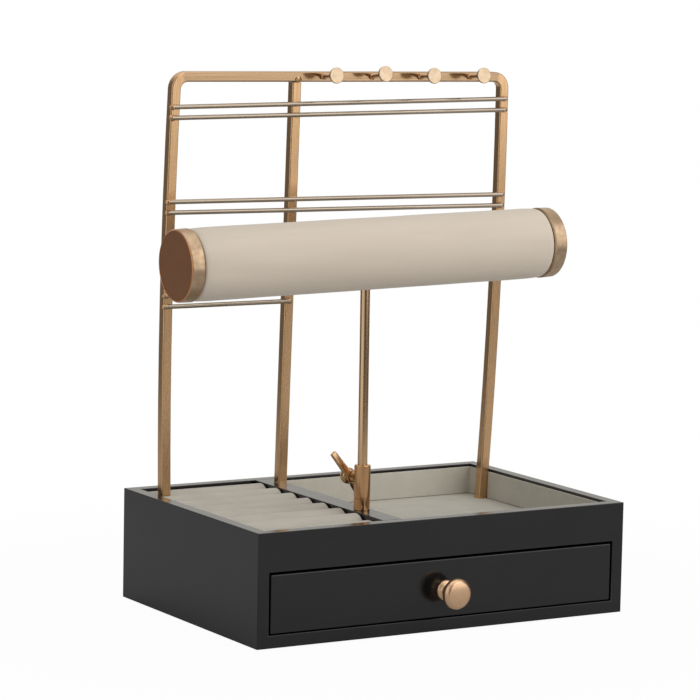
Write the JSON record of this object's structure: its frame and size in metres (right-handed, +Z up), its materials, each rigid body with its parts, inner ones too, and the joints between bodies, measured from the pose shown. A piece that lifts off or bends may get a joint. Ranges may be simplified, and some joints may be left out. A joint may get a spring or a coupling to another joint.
{
  "type": "jewelry stand with drawer",
  "caption": "Lacquered box stand with a drawer, ring rolls, a lined tray, an earring frame with rods and pegs, and a clamped T-bar bracelet roll.",
  "frame": {"origin": "centre of the felt sheet under the base, on the surface that the stand rests on", "axes": "+Z up, -Y out of the drawer's front, +X to the right seen from the front"},
  "size_m": [0.3396, 0.2196, 0.3881],
  "materials": {
    "black_lacquer": "gloss",
    "drawer_board": "satin",
    "black_felt": "matte",
    "grey_felt": "matte",
    "ring_felt": "matte",
    "stop_rubber": "matte",
    "brushed_brass": "brushed",
    "screw_steel": "satin",
    "roll_fabric": "matte",
    "core_plastic": "matte",
    "cap_brass": "brushed"
  },
  "bodies": {
    "case": {"side_panel_left": "black_lacquer", "side_panel_right": "black_lacquer", "back_panel": "black_lacquer", "front_rail": "black_lacquer", "bottom_panel": "black_lacquer", "base_felt_sheet": "black_felt", "deck_board": "black_lacquer", "divider": "black_lacquer", "ring_bed_card": "ring_felt", "ring_roll_1": "ring_felt", "ring_roll_2": "ring_felt", "ring_roll_3": "ring_felt", "ring_roll_4": "ring_felt", "ring_roll_5": "ring_felt", "ring_roll_6": "ring_felt", "ring_roll_7": "ring_felt", "ring_roll_8": "ring_felt", "tray_floor_lining": "grey_felt", "tray_lining_front": "grey_felt", "tray_lining_back": "grey_felt", "tray_lining_left": "grey_felt", "tray_lining_right": "grey_felt", "drawer_glides": "black_felt", "drawer_stops": "stop_rubber", "frame_hoop": "brushed_brass", "middle_leg": "brushed_brass", "leg_plugs": "screw_steel", "earring_rod_top_upper": "brushed_brass", "earring_rod_top_lower": "brushed_brass", "earring_rod_middle_upper": "brushed_brass", "earring_rod_middle_lower": "brushed_brass", "earring_rod_low_upper": "brushed_brass", "earring_rod_low_lower": "brushed_brass", "peg_pins": "brushed_brass", "peg_heads": "brushed_brass", "short_fixing_screws": "screw_steel", "long_fixing_screws": "screw_steel", "sleeve": "brushed_brass"},
    "drawer": {"drawer_front": "black_lacquer", "drawer_side_left": "drawer_board", "drawer_side_right": "drawer_board", "drawer_back": "drawer_board", "drawer_bottom": "drawer_board", "drawer_floor_lining": "grey_felt", "drawer_wall_linings": "grey_felt", "knob": "brushed_brass", "knob_bolt": "screw_steel"},
    "clamp_screw": {"wing_screw": "brushed_brass"},
    "post": {"tbar_post": "brushed_brass", "hub_screw": "screw_steel"},
    "bracelet_roll": {"roll_hub": "core_plastic", "roll_core_tube": "core_plastic", "roll_cover": "roll_fabric", "end_cap_left": "cap_brass", "end_cap_right": "cap_brass"}
  },
  "joints": [
    {"name": "drawer_slide", "type": "slide", "parent": "case", "child": "drawer", "axis": [0, -1, 0], "range_m": [0, 0.15]},
    {"name": "post_height", "type": "slide", "parent": "case", "child": "post", "axis": [0, 0, 1], "range_m": [0, 0.01]},
    {"name": "roll_turn", "type": "hinge", "parent": "post", "child": "bracelet_roll", "pos_m": [-0.0385, -0.0485, 0.2623], "axis": [0, 0, 1], "range_deg": [-30, 30]},
    {"name": "clamp_turn", "type": "hinge", "parent": "case", "child": "clamp_screw", "pos_m": [-0.0385, -0.0485, 0.1037], "axis": [-0.1736, 0.9848, 0], "range_deg": [0, 360]}
  ]
}
